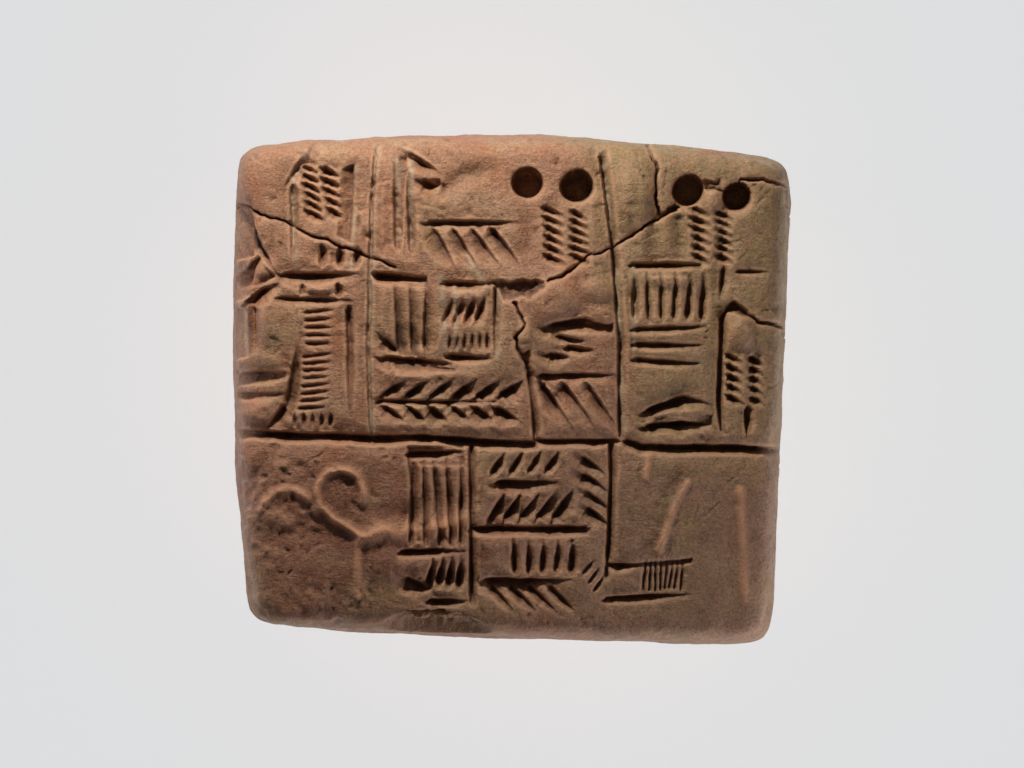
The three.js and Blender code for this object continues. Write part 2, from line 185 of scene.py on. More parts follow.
STROKES = sum([
    # upper left case
    row((-21.5, 23.6), (-20.9, 18.6), 6, 1.9, -32),
    row((-19.3, 23.2), (-18.8, 18.9), 5, 1.7, -32),
    line([(-22, 25.3), (-24.2, 21.7)], WEDGE),
    line([(-23.5, 21.6), (-23.4, 13.8)]),
    line([(-17, 23.4), (-17.6, 16.2)], BROAD),
    row((-20.4, 14.6), (-16.6, 14.4), 3, 1.9, 86),
    line([(-24.2, 12.3), (-16.2, 12.3)], WEDGE),
    line([(-24.8, 9.8), (-17.2, 9.5)]),
    row((-22.4, 11), (-18.6, 11), 2, 1.7, 90),
    row((-20.5, 8.4), (-20.5, 4.9), 5, 2.9, 0, FINE),
    line([(-17.6, 8.4), (-17.2, -2.8)]),
    row((-20.6, 3.7), (-21.2, -1.9), 8, 3.1, 4, FINE),
    line([(-24, -1.4), (-22.9, 4.6)], WEDGE),
    row((-23.2, -3), (-19.4, -3.1), 5, 1.4, 88, FINE),
    # edge of the same case, cut more deeply
    line([(-28.6, 19), (-26.8, 15.4), (-24.9, 12)], WEDGE),
    line([(-29, 12.2), (-26.4, 14.6)], WEDGE),
    line([(-28.4, 9.4), (-26.6, 10.6), (-24.6, 11.3)], WEDGE),
    line([(-28.1, 8.9), (-28, 3.6)], WEDGE),
    line([(-29.4, 1.7), (-23.6, 1.8)], WEDGE),
    line([(-29.4, -0.5), (-24.3, -0.5)]),
    line([(-24.4, -1.8), (-26.3, -4.2)], WEDGE),
    # upper middle case
    row((-12.4, 20.2), (-11, 20), 2, 9.4, 88),
    line([(-11, 25.4), (-7.9, 23.3)], WEDGE),
    line([(-9.4, 22.3), (-7.7, 21.7)], WEDGE),
    line([(-8.2, 20.6), (-5, 22.9), (-2.3, 23.5)], BROAD),
    line([(-8.8, 17.9), (0.6, 17.9)], WEDGE),
    row((-7.2, 15.2), (-0.6, 15.2), 4, 4.6, -58, WEDGE),
    line([(1.8, 19.4), (1.9, 13.8)], BROAD),
    row((4.6, 19), (4.9, 13.8), 6, 2.2, -30),
    row((7.4, 18.6), (7.6, 13.9), 6, 1.9, -30),
    line([(-14.8, 12.3), (-9, 11.9)], RULE),
    row((-12.3, 8), (-9.2, 8), 3, 7.2, 89, WEDGE),
    line([(-7.2, 11.3), (-2, 11.3)]),
    row((-6.8, 8.4), (-3.4, 8.7), 4, 2.6, 68),
    row((-6.6, 5.2), (-2.6, 5.3), 6, 1.7, 88, FINE),
    line([(-1.7, 10.8), (-1.7, 3.6)]),
    line([(-13.6, 5.4), (-11.7, 3.5)], WEDGE),
    line([(-13.4, 3.4), (-6, 2.7)], WEDGE),
    line([(-6.6, 3.6), (-2, 3.3)]),
    row((-12.6, 0.2), (0, 0.2), 6, 2.9, 34, WEDGE),
    line([(-14.2, -1.3), (1.2, -1.3)]),
    row((-12.4, -2.7), (-0.4, -2.7), 6, 2.7, -34, WEDGE),
    # small case beside it
    line([(3.9, 6.9), (7.8, 7.5), (11, 6.7)], WEDGE),
    row((6.4, 5.4), (7.4, 4.3), 2, 2.7, -12),
    line([(4.1, 3.8), (6.2, 3.4)], WEDGE),
    line([(3.2, 1.6), (11.1, 1.6)], WEDGE),
    row((4.8, -1.7), (9.6, -1.7), 3, 5.4, -58, WEDGE),
    # upper right case
    line([(12.9, 18.9), (12.8, 16)], BROAD),
    row((15.3, 16.8), (18.1, 16.8), 2, 4.8, 90, BROAD),
    row((20.4, 19), (20.6, 13.8), 6, 2, -32),
    row((22.9, 18.6), (23, 13.9), 6, 1.8, -32),
    line([(22.6, 12.9), (22.4, 9.8)]),
    line([(12.9, 13.4), (20.5, 13.4)]),
    row((13.1, 10.2), (20.4, 10.2), 6, 4.8, 89),
    row((17, 6.6), (16.8, 3), 3, 7.6, 0),
    line([(14.5, -2.2), (18.4, -0.9), (21.3, -1.5)], WEDGE),
    line([(14.5, -3.9), (18.4, -3.5), (21.6, -4)], WEDGE),
    line([(24.2, 12.7), (27.4, 12.5)], FINE),
    row((24, 3.3), (24.1, -1.1), 5, 1.9, -32),
    row((26.3, 3), (26.4, -1.2), 5, 1.6, -32),
    line([(25.2, -2), (25.2, -5.2)]),
    # lower middle cases
    line([(-10.9, -6.8), (-5.2, -6.7)]),
    row((-10.6, -11.8), (-5.4, -11.8), 5, 9, 90),
    line([(-11.7, -17.3), (-4.9, -17.2)]),
    row((-8.6, -19.3), (-5.6, -19.4), 4, 3, 80),
    line([(-11.2, -20.2), (-8.6, -21.5)], WEDGE),
    line([(-8.8, -22.7), (-4.9, -22.7)]),
    row((-1.4, -7.8), (4.4, -7.6), 4, 2.4, 54),
    line([(-1.6, -9.9), (5, -9.9)], WEDGE),
    row((-1.5, -12.3), (5.5, -12.2), 5, 3.8, 56, WEDGE),
    row((8.8, -8.2), (9.2, -13.6), 4, 2.9, -38, WEDGE),
    row((0.2, -17.8), (6.4, -17.8), 5, 3.4, 90),
    line([(-2.8, -20.4), (6.4, -20.4)], WEDGE),
    row((-1, -22.4), (5.4, -22.4), 4, 3.7, -46),
    row((8.2, -18.9), (9.4, -20.6), 3, 1.8, 50, FINE),
    row((14.2, -19.7), (18.2, -19.7), 8, 3.4, 88, FINE),
    line([(10.2, -18.8), (13.2, -18.9)]),
    line([(10.2, -22.4), (19, -21.9)]),
], [])

# Round marks of a reed's end: x, y and radius.
ROUND_MARKS = [(1.7, 22.1, 1.75), (7, 21.8, 1.85), (18.9, 21.3, 1.75), (24.1, 20.6, 1.6)]
ROUND_DEPTH = 3.2

# Cracks across the face.
CRACKS = [
    [(-29.8, 20.2), (-26.1, 18.5), (-19.7, 16), (-17.6, 15), (-12.6, 13.3)],
    [(10.9, 15.1), (14.4, 17.6), (17.8, 19.6)],
    [(20.2, 22), (22.5, 21.3), (24.3, 22.5), (27.6, 22.4), (29.6, 21.6)],
    [(14.4, 26.6), (15.3, 24.3), (15.7, 18.9)],
    [(10.6, 15.1), (8.1, 14.3), (6.8, 13), (3.9, 11.5)],
    [(0.4, 9.4), (1.4, 7), (0.5, 5.3), (1.6, 2.6), (1.8, 1.5)],
    [(22.5, 7.7), (23.9, 9.2), (26.3, 7.2), (28.9, 6.7)],
]

# Flakes lost from the face: corners and depth.
LOSSES = [
    ([(-2.6, 11.6), (-0.9, 9.6), (2.1, 9.5), (3.7, 10.8), (3.6, 11.6), (-1.2, 11.9)], 1.0),
    ([(15.2, 18), (17.9, 19), (17.6, 20.2), (15.7, 19)], 1.2),
    ([(20.4, 22.6), (20.8, 21.2), (22.4, 21.2), (22.2, 22.8)], 0.7),
    ([(22.7, 7.9), (24.4, 7.9), (26.2, 7.4), (25.4, 8.7), (23.9, 9.5)], 1.2),
    ([(0.8, 4.4), (1.4, 2.1), (2.2, 2.1), (1.9, 4.2)], 1.1),
]

# Low swellings: x, y, the two radii and the height.
SWELLINGS = [
    (13.1, 20.6, 2.5, 4.8, 1.0),
    (4.5, 9.3, 2.9, 3.2, 0.9),
    (9.2, 10.6, 2.0, 1.5, 0.5),
    (9.2, 7.9, 2.0, 1.3, 0.4),
    (-26.9, 16.2, 1.3, 2.6, 0.5),
    (-26.6, 12.9, 1.6, 1.2, 0.6),
    (-25.8, 8.0, 1.8, 3.4, 0.45),
    (-26.6, -2.3, 2.0, 1.6, 0.5),
    (-20.3, 11.0, 2.6, 0.8, 0.45),
    (-4.6, 10.0, 2.2, 0.8, 0.4),
    (-26, 3, 1.5, 1.2, 0.3),
    (16.6, 11.6, 3.0, 0.8, 0.4),
    (18, -2.7, 2.6, 0.9, 0.45),
    (21.5, 20.2, 1.3, 1.5, 0.5),
    (24.4, 6.1, 1.7, 2.1, 0.8),
    (1.5, 6, 0.9, 1.8, 0.5),
    (-10.4, -17.6, 6.2, 3.4, 0.6),
    (-24.8, -13.9, 2, 1.3, 0.4),
]

# The worn seal relief: a path, its width and its height.
TAIL = arc(-18.3, -11.1, 2.5, -20, 215, 14) + [(-18.9, -13.9), (-15.9, -15.6)]
RELIEFS = [
    (TAIL, 1.25, 0.85),
    ([(-15.9, -15.8), (-14.4, -15.1), (-10.9, -15), (-5.4, -14.4)], 2.5, 1.15),
    ([(-16.3, -16.4), (-16.5, -22)], 1.2, 0.5),
    (arc(-23.8, -13.6, 2.9, 165, 15, 10), 1.4, 0.75),
    ([(18.8, -10), (17.2, -12.9), (15.7, -17.2)], 1.1, 0.65),
    ([(14.8, -6.9), (14.4, -9.4)], 1.1, 0.45),
    ([(24.4, -10.8), (25, -22.4)], 1.5, 0.4),
]

# Flat facets where the clay was pressed or cut away: corners as x, y and how deep each lies.
FACETS = [
    [(-30, 20, 0.5), (-28.4, 19.2, 0.1), (-26.8, 15.4, 0.35), (-27.6, 14.2, 1.3),
     (-30, 13.6, 1.6)],
    [(-27.2, 14.6, 0.2), (-25, 12.0, 1.0), (-26.2, 11.3, 0.3), (-29.6, 10.2, 0.5),
     (-29.6, 12.6, 0.2)],
    [(-30, 12.2, 1.5), (-28.3, 13.2, 0.9), (-27.8, 9.9, 0.1), (-30, 9.2, 1.0)],
    [(-30, 9, 0.9), (-28.3, 8.6, 0.2), (-28.2, 3.4, 0.3), (-30, 3, 1.0)],
    [(-30, 1.8, 1.3), (-24, 1.8, 0.7), (-23.8, 0.9, 0.1), (-30, 0.2, 0.4)],
    [(-24.6, -1.2, 0.9), (-22.8, 3.6, 0.5), (-22.4, 1.4, 0.1), (-23.4, -3.6, 0.15)],
    [(-18.4, 23.6, 0.1), (-16.7, 24.2, 0.9), (-17.2, 15.6, 1.1), (-18.8, 16.4, 0.25)],
    [(-12.2, 25, 0.3), (-11, 25.4, 1.0), (-11.6, 16.2, 0.9), (-12.8, 16, 0.1)],
    [(-9.9, 22.8, 0.1), (-7.6, 22.6, 0.9), (-7.4, 21.8, 0.9), (-9.8, 21.2, 0.15)],
    [(-14.8, 12.4, 0.9), (-9, 12.2, 1.0), (-8.8, 10.8, 0.15), (-14.6, 11.2, 0.1)],
    [(-13.8, 5.6, 0.1), (-11.6, 3.3, 1.1), (-9.4, 3.1, 0.9), (-11.2, 5.2, 0.1)],
    [(-12.8, 3.1, 1.1), (-5.4, 2.3, 0.5), (-6.2, 1.7, 0.1), (-12.6, 2.0, 0.2)],
    [(3.6, 7.4, 0.8), (11, 7.2, 0.9), (11.1, 5.7, 0.15), (6.6, 6.0, 0.1)],
    [(13.2, 13.6, 0.9), (20.7, 13.5, 0.9), (20.5, 12.7, 0.1), (13.2, 12.8, 0.15)],
    [(14.4, -3.9, 1.0), (21.7, -4.0, 1.1), (21.7, -2.6, 0.1), (18.4, -1.8, 0.1), (15.4, -3, 0.2)],
    [(-11.3, -5.9, 0.8), (-5, -5.9, 0.9), (-4.8, -8.2, 0.6), (-10.9, -8.2, 0.7)],
    [(-11.3, -6.6, 0.9), (-9.8, -6.6, 0.6), (-9.4, -16.4, 0.4), (-10.3, -16.4, 0.9)],
    [(-12.3, -20.1, 0.2), (-8.2, -20.4, 0.9), (-8.3, -21.6, 1.0), (-11.4, -21.8, 0.15)],
    [(10.3, -18.6, 0.6), (19.4, -17.9, 0.7), (19.4, -18.8, 0.1), (10.5, -19.4, 0.1)],
]

# Crumbled ground: x, y, the two radii and how crumbled it is.
CRUMBLED = [
    (-25.5, -13, 4.5, 8, 1.0),
    (-20, -22.5, 8, 3.6, 0.8),
    (-17, 20, 1.6, 5, 0.8),
    (-8.6, 21, 2.6, 2.8, 0.8),
    (-13.6, 18.5, 1.6, 4, 0.5),
    (-21.5, 20.5, 3.4, 3.6, 0.4),
    (5, 4.6, 3, 2.2, 0.5),
    (24.4, 6.2, 2.4, 2.4, 0.6),
    (1.2, 4.4, 1.5, 3, 0.6),
    (-11, -19, 3, 3.4, 0.5),
]

# Grooves that still hold pale silt, and how wide it lies.
SILT = [
    (LEFT_RULE, 0.3),
    ([(-23.5, 22.5), (-23.3, 13.4)], 0.28),
    ([(-22.1, 25.2), (-23.2, 23.2)], 0.3),
    ([(-16.8, 23.9), (-17.2, 12.8)], 0.24),
    ([(-12.3, 24.6), (-12.2, 15.6)], 0.3),
    ([(-10.9, 24.4), (-10.8, 15.2)], 0.26),
    ([(-7.6, 12), (-7.3, 4.2)], 0.3),
    ([(-6.2, 11), (-6, 4)], 0.24),
    ([(-1.5, 10.8), (-1.6, 3.4)], 0.26),
    ([(9.9, 24.6), (10.3, 16.5)], 0.3),
    ([(11.1, 12.7), (11.9, -4.8)], 0.26),
    ([(-5, 14.6), (-3, 11)], 0.24),
    ([(12.9, 13.2), (13.1, 3)], 0.2),
]

# Bites out of the rim, shaped like lying eggs: centre, the three radii and the turn about Z.
BITES = [
    ((-7.6, -27.6, 38.9), (7.2, 4.2, 3.2), -0.17),
    ((-29.6, 20.6, 39.6), (1.3, 0.5, 3.4), -0.5),
    ((-30.1, 1.9, 36.5), (1.2, 0.55, 4.5), 0.0),
    ((14.6, 27.6, 37.0), (0.45, 1.3, 5.0), 0.0),
    ((30.3, 21.4, 37.0), (1.2, 0.5, 4.0), 0.2),
    ((-14.5, 28.3, 39.0), (0.6, 1.5, 4.0), 0.0),
    ((12.2, -28.1, 39.0), (0.9, 1.2, 4.5), 0.0),
    ((-29.4, -8.4, 38.2), (1.0, 1.5, 1.4), 0.1),
    ((-27.4, -24.6, 38.4), (1.5, 1.2, 1.3), 0.6),
    ((23.5, 26.3, 39.3), (2.4, 0.9, 1.1), -0.1),
]


def leg_place(x, y, start, end):
    """How far along a leg each point's nearest place is, from 0 to 1, and how far away."""
    (ax, ay), (bx, by) = start, end
    leg = math.dist(start, end)
    t = np.clip(((x - ax) * (bx - ax) + (y - ay) * (by - ay)) / leg**2, 0, 1)
    return t, np.hypot(x - ax - t * (bx - ax), y - ay - t * (by - ay))


def inside(corners, x, y):
    """Which places lie inside a polygon, and how far each is from its edge."""
    within = np.zeros(x.shape, bool)
    distance = np.full(x.shape, 1e9)
    for (ax, ay), (bx, by) in zip(corners, corners[1:] + corners[:1]):
        distance = np.minimum(distance, leg_place(x, y, (ax, ay), (bx, by))[1])
        within ^= ((ay > y) != (by > y)) & (x < (bx - ax) * (y - ay) / (by - ay + 1e-9) + ax)
    return within, distance


class Face:
    """The relief of the written face as rasters over X and Y, in millimetres.

    cut is how deep the marks go, rise how far forms stand out, lip the burr beside the marks,
    shoulders the clay drawn down beside them, and hewn how deep the flat facets lie. broken,
    crumbled, rubbed and pale, which is silt, are shares from 0 to 1.
    """

    def __init__(self):
        self.xs = np.arange(-REACH_X, REACH_X + PITCH / 2, PITCH, dtype=np.float32)
        self.ys = np.arange(-REACH_Y, REACH_Y + PITCH / 2, PITCH, dtype=np.float32)
        x, y = np.meshgrid(self.xs, self.ys, indexing="ij")
        self.flat = flat = np.stack([x, y, 0 * x], -1)
        # Marks are pressed by hand, so every edge wavers a little.
        self.wx = x + 0.08 * fractal(flat, 3.1, 11, 2) + 0.03 * lattice(flat, 0.45, 14)
        self.wy = y + 0.08 * fractal(flat, 3.1, 21, 2) + 0.03 * lattice(flat, 0.45, 24)
        # Cracks wander further.
        self.cx = x + 0.3 * fractal(flat, 1.5, 31, 3)
        self.cy = y + 0.3 * fractal(flat, 1.5, 41, 3)
        self.cut = np.zeros_like(x)
        self.rise = np.zeros_like(x)
        self.lip = np.zeros_like(x)
        self.shoulders = [np.zeros_like(x) for _ in SHOULDERS]
        self.broken = np.zeros_like(x)
        self.pale = np.zeros_like(x)
        self.crumbled = np.zeros_like(x)
        self.rubbed = np.zeros_like(x)
        self.hewn = np.zeros_like(x)
        # Marks also vary in depth along their length.
        self.vary = 1 + 0.32 * fractal(flat, 2.6, 91, 2)

    def window(self, points, margin):
        """The slices of the raster that hold some points, with a margin round them."""
        low = np.min(points, axis=0) - margin
        high = np.max(points, axis=0) + margin
        i0, i1 = np.searchsorted(self.xs, (low[0], high[0]))
        j0, j1 = np.searchsorted(self.ys, (low[1], high[1]))
        return slice(i0, i1), slice(j0, j1)

    def along(self, points, margin, crack=False):
        """The window of a path, and each cell's distance from it, share of its length and side."""
        at = self.window(points, margin)
        x = (self.cx if crack else self.wx)[at]
        y = (self.cy if crack else self.wy)[at]
        best = np.full(x.shape, 1e9, np.float32)
        share = np.zeros_like(best)
        side = np.zeros_like(best)
        legs = [math.dist(a, b) for a, b in zip(points, points[1:])]
        passed = 0.0
        for (ax, ay), (bx, by), leg in zip(points, points[1:], legs):
            t, distance = leg_place(x, y, (ax, ay), (bx, by))
            nearer = distance < best
            best = np.where(nearer, distance, best)
            share = np.where(nearer, (passed + t * leg) / sum(legs), share)
            turn = (bx - ax) * (y - ay) - (by - ay) * (x - ax)
            side = np.where(nearer, np.sign(turn), side)
            passed += leg
        return at, best, share, side

    def press(self, points, mark, head=0.75, tail=0.12):
        """A mark drawn from the first point to the last: one wall is steep and one slopes.

        The sloping wall lies below a lying mark and to the right of a standing one, so it looks
        towards the top of the tablet or to its left.
        """
        steep, slope, depth = mark
        at, distance, share, side = self.along(points, slope + 4)
        run = np.subtract(points[-1], points[0])
        lying = abs(run[0]) > 0.4 * abs(run[1])
        offset = distance * side * (-np.sign(run[0]) if lying else -np.sign(run[1]))
        scale = np.minimum(1, head + 4 * share)
        scale = np.minimum(scale, np.minimum(1, tail + 1.7 * (1 - share)))
        scale = scale * self.vary[at]
        sloping = np.clip(1 - offset / (slope * (0.35 + 0.65 * scale)), 0, 1) ** 1.1
        wall = np.clip(1 + offset / (steep * (0.5 + 0.5 * scale)), 0, 1) ** 0.7
        bed = depth * scale * np.where(offset > 0, sloping, wall)
        self.cut[at] = np.maximum(self.cut[at], bed)
        for shoulder, (drawn, width) in zip(self.shoulders, SHOULDERS):
            sunk = drawn * depth * scale * np.exp(-((distance / width) ** 2))
            shoulder[at] = np.maximum(shoulder[at], sunk)
        burr = np.exp(-(((offset + steep + 0.12) / 0.15) ** 2))
        burr += 0.6 * np.exp(-(((offset - slope - 0.1) / 0.2) ** 2))
        self.lip[at] = np.maximum(self.lip[at], burr * min(1, depth) * scale)

    def trough(self, points, mark):
        """A soft wide dip left by a finger or the side of the reed."""
        width, depth = 2 * mark[0], mark[2]
        at, distance, share, _ = self.along(points, width + 1)
        ends = smooth(0, 0.25, share) * smooth(0, 0.25, 1 - share)
        bed = depth * (0.5 + 0.5 * ends) * np.exp(-((distance / (width / 2)) ** 2) * 1.2)
        self.rise[at] -= bed

    def crack(self, points):
        """A ragged crack, with crumbled clay along it."""
        width, depth = CRACK
        at, distance, _, _ = self.along(points, 2.5, crack=True)
        loose = lattice(self.flat[at], 2.2, 51)
        half = width / 2 * (1 + 0.6 * loose)
        bed = depth * np.clip(1 - distance / half, 0, 1) ** 0.6
        self.cut[at] = np.maximum(self.cut[at], bed)
        crumbled = 0.25 * np.exp(-((distance / 0.35) ** 2)) * (0.5 + 0.5 * loose)
        self.rise[at] -= crumbled
        self.broken[at] = np.maximum(self.broken[at], np.exp(-((distance / 0.22) ** 2)))

    def band(self, points, width, height):
        """A low rounded band of worn relief."""
        at, distance, _, _ = self.along(points, width + 1)
        worn = 0.75 + 0.35 * lattice(self.flat[at], 1.3, 61)
        form = worn * np.exp(-((distance / (width * 0.45)) ** 2) * 1.4)
        self.rise[at] += height * form
        self.rubbed[at] = np.maximum(self.rubbed[at], form)

    def swell(self, x, y, radius_x, radius_y, height):
        """A low swelling of the face."""
        at = self.window([(x - radius_x, y - radius_y), (x + radius_x, y + radius_y)], 2)
        far = np.hypot((self.wx[at] - x) / radius_x, (self.wy[at] - y) / radius_y)
        self.rise[at] += height * (1 - smooth(0.3, 1.15, far))

    def lose(self, corners, depth):
        """A flake lost from the face, with steep sides and a rough bed."""
        at = self.window(corners, 1)
        within, distance = inside(corners, self.cx[at], self.cy[at])
        depth_in = np.where(within, np.clip(distance / 0.35, 0, 1), 0)
        rough = 0.75 + 0.3 * fractal(self.flat[at], 0.9, 71, 3)
        self.cut[at] = np.maximum(self.cut[at], depth * rough * depth_in)
        self.broken[at] = np.maximum(self.broken[at], depth_in)

    def plane(self, corners):
        """A flat facet that slopes from some of its corners to others."""
        places = [corner[:2] for corner in corners]
        at = self.window(places, 1)
        x, y = self.wx[at], self.wy[at]
        within, distance = inside(places, x, y)
        level = np.array([[cx, cy, 1] for cx, cy in places])
        slope = np.linalg.lstsq(level, np.array([corner[2] for corner in corners]), rcond=None)[0]
        depth = np.clip(slope[0] * x + slope[1] * y + slope[2], 0, 1.8)
        hewn = np.where(within, depth, 0) * smooth(0, 0.3, distance)
        self.hewn[at] = np.maximum(self.hewn[at], hewn)

    def crumble(self, x, y, radius_x, radius_y, amount):
        """Ground where the surface has crumbled away."""
        at = self.window([(x - radius_x, y - radius_y), (x + radius_x, y + radius_y)], 3)
        far = np.hypot((self.cx[at] - x) / radius_x, (self.cy[at] - y) / radius_y)
        ragged = far + 0.35 * lattice(self.flat[at], 1.8, 301)
        self.crumbled[at] = np.maximum(self.crumbled[at], amount * smooth(1.15, 0.55, ragged))

    def silt(self, points, width):
        """Pale silt in beads along a groove, which it partly fills."""
        beside = [(x + 0.6 * width, y) for x, y in points]
        at, distance, _, _ = self.along(beside, 1.5)
        loose = 0.8 * lattice(self.flat[at], 0.36, 331) + 0.7 * lattice(self.flat[at], 2.6, 332)
        share = smooth(-0.75, 0.25, loose) * np.exp(-((distance / width) ** 2))
        self.pale[at] = np.maximum(self.pale[at], share)

    def chip(self, x, y, long, short, turn, depth):
        """A small shallow scar."""
        at = self.window([(x, y)], 1.4 * long)
        dx, dy = self.cx[at] - x, self.cy[at] - y
        across = (dx * math.cos(turn) + dy * math.sin(turn)) / long
        along = (dy * math.cos(turn) - dx * math.sin(turn)) / short
        self.rise[at] -= depth * np.sqrt(np.clip(1 - np.hypot(across, along), 0, 1))

    def weather(self, seed=7):
        """Scars, scratches, silt, burrs and unevenness that lie over all the marks."""
        rng = np.random.default_rng(seed)
        for _ in range(SCARS):
            long = rng.uniform(0.18, 0.5) + rng.exponential(0.16)
            x, y = rng.uniform(-29, 29), rng.uniform(-27, 27)
            deep = rng.uniform(0.05, 0.2) * (0.35 if x > 8 and y < -7 else 1)
            self.chip(x, y, long, long * rng.uniform(0.35, 0.9), rng.uniform(0, math.pi), deep)
        for _ in range(SCRATCHES):
            x, y, turn = rng.uniform(-28, 28), rng.uniform(-26, 26), rng.normal(0.5, 0.7)
            reach = rng.uniform(0.6, 2.4)
            ends = [(x, y), (x + reach * math.cos(turn), y + reach * math.sin(turn))]
            at, distance, _, _ = self.along(ends, 0.4)
            self.rise[at] -= rng.uniform(0.04, 0.12) * np.exp(-((distance / 0.1) ** 2))
        flat = self.flat
        self.rise -= self.hewn
        for shoulder in self.shoulders:
            self.rise -= shoulder * (1 - np.clip(self.hewn, 0, 0.8))
        ragged = 0.75 + 0.9 * fractal(flat, 0.8, 341, 2)
        self.rise += 0.13 * self.lip * np.clip(ragged, 0, 2)
        self.cut *= 1 - 0.3 * self.pale
        self.rise += 0.03 * self.pale
        dented = smooth(0.1, 0.8, lattice(flat, 1.0, 351) * (0.6 + lattice(flat, 5, 352)))
        clods = 0.2 * fractal(flat, 1.3, 361, 3, 0.6) - 0.25 * dented
        self.rise += self.crumbled * clods
        self.rise += 0.032 * fractal(flat, 0.75, 371, 2, 0.7) - 0.05 * dented

    def drill(self, x, y, radius):
        """A deep round mark, leaning so that its lower wall slopes and its upper wall is steep."""
        at = self.window([(x, y)], radius + 1)
        dx, dy = self.wx[at] - x, self.wy[at] - y
        far = np.hypot(dx, dy) / radius
        slope = 0.1 + 0.22 * smooth(-0.6, 1, -dy / radius)
        bed = ROUND_DEPTH * np.clip((1 - far) / slope, 0, 1)
        self.cut[at] = np.maximum(self.cut[at], bed)
        sunk = 0.3 * np.exp(-(((far - 1) * radius / 0.4) ** 2))
        self.rise[at] -= sunk * (0.7 - 0.5 * dy / radius)

    def sample(self, raster, x, y):
        """Values of a raster at points, read between its cells."""
        fx = np.clip((x - self.xs[0]) / PITCH, 0, len(self.xs) - 1.001)
        fy = np.clip((y - self.ys[0]) / PITCH, 0, len(self.ys) - 1.001)
        i, j = fx.astype(int), fy.astype(int)
        tx, ty = fx - i, fy - j
        near = raster[i, j] * (1 - ty) + raster[i, j + 1] * ty
        far = raster[i + 1, j] * (1 - ty) + raster[i + 1, j + 1] * ty
        return near * (1 - tx) + far * tx


def make_face():
    """The face with everything that was pressed into it, and what befell it since."""
    face = Face()
    for swelling in SWELLINGS:
        face.swell(*swelling)
    for points, width, height in RELIEFS:
        face.band(points, width, height)
    for corners in FACETS:
        face.plane(corners)
    for points, mark in STROKES:
        if mark is BROAD:
            face.trough(points, mark)
        else:
            face.press(points, mark)
    for points, mark in RULES:
        face.press(points, mark, head=0.9, tail=0.75)
    for points in CRACKS:
        face.crack(points)
    for points, depth in LOSSES:
        face.lose(points, depth)
    for mark in ROUND_MARKS:
        face.drill(*mark)
    for ground in CRUMBLED:
        face.crumble(*ground)
    for points, width in SILT:
        face.silt(points, width)
    face.weather()
    return face


# ---- The body's two skins -----------------------------------------------------------------------

def plan(u, v):
    """Points of the outline's plan from places across and along it, both from -1 to 1."""
    left, right = (1 - u) / 2, (1 + u) / 2
    low, high = (1 - v) / 2, (1 + v) / 2
    x, y = (
        low * (left * LOWER_LEFT[axis] + right * LOWER_RIGHT[axis])
        + high * (left * UPPER_LEFT[axis] + right * UPPER_RIGHT[axis])
        for axis in (0, 1)
    )
    x = x + (1 - v * v) * (right * BOW_RIGHT - left * BOW_LEFT)
    y = y + (1 - u * u) * (high * BOW_TOP - low * BOW_BOTTOM)
    return x, y


def spread(fine, height, count):
    """Sizes whose steps are even along the curve of a skin from its middle to the waist."""
    legs = np.hypot(np.diff(fine) * HALF_SPAN, np.diff(height))
    run = np.concatenate([[0], np.cumsum(legs)])
    return np.interp(np.linspace(0, run[-1], count), run, fine)


def face_sizes():
    """The sizes of the face's rings: even steps, then steps even along the rim's curve."""
    inner = np.linspace(0, INNER_SIZE, INNER_RINGS + 1)
    fine = 1 - (1 - INNER_SIZE) * np.linspace(1, 0, CURVE_STEPS) ** 3
    height = (THICKNESS - WAIST) * (1 - fine**RIM_POWER) ** (1 / EDGE_POWER)
    return np.concatenate([inner, spread(fine, height, FACE_RINGS - INNER_RINGS + 1)[1:]])


def back_sizes():
    """The sizes of the back's rings, in steps even along its curve."""
    fine = 1 - np.linspace(1, 0, CURVE_STEPS) ** 3
    depth = WAIST * (1 - fine**BACK_POWER) ** (1 / BACK_POWER)
    return spread(fine, depth, BACK_RINGS + 1)


def skin(sizes, back):
    """The points of one skin's square net, whose rings run from its middle to the waist."""
    rings = len(sizes) - 1
    steps = np.arange(-rings, rings + 1)
    i, j = np.meshgrid(steps, steps, indexing="ij")
    ring = np.maximum(abs(i), abs(j))
    size = sizes[ring]
    u, v = i / np.maximum(ring, 1), j / np.maximum(ring, 1)
    growth = size**BACK_BLEND if back else 1.0
    power = BACK_CENTRE_POWER + (PLAN_POWER - BACK_CENTRE_POWER) * growth
    norm = (abs(u) ** power + abs(v) ** power) ** (1 / power)
    norm = np.where(ring == 0, 1, norm)
    u, v = size * u / norm, size * v / norm
    x, y = plan(u, v)
    if back:
        z = WAIST - (WAIST + REST_CUT) * (1 - size**BACK_POWER) ** (1 / BACK_POWER)
    else:
        rim = (1 - size**RIM_POWER) ** (1 / EDGE_POWER)
        crown = (1 - u * u) * (1 - v * v)
        z = WAIST + (THICKNESS - WAIST - CROWN * (1 - crown)) * rim
    return np.stack([x, y, z], -1)


def normals_of(net):
    """The direction in which the surface of a net looks, at each of its points."""
    across = np.gradient(net, axis=0)
    along = np.gradient(net, axis=1)
    n = np.cross(across, along)
    return n / np.maximum(np.linalg.norm(n, axis=-1, keepdims=True), 1e-12)


def side_relief(points):
    """How far the sides and back stand out of or in from the plain body, in millimetres."""
    lumps = 0.22 * fractal(points, 7.0, 101, 3)
    grain = 0.06 * fractal(points, 1.2, 111, 3)
    pits = -0.22 * smooth(0.62, 0.95, lattice(points, 0.8, 121))
    pits = pits * smooth(-0.2, 0.5, lattice(points, 6, 131))
    return lumps + grain + pits


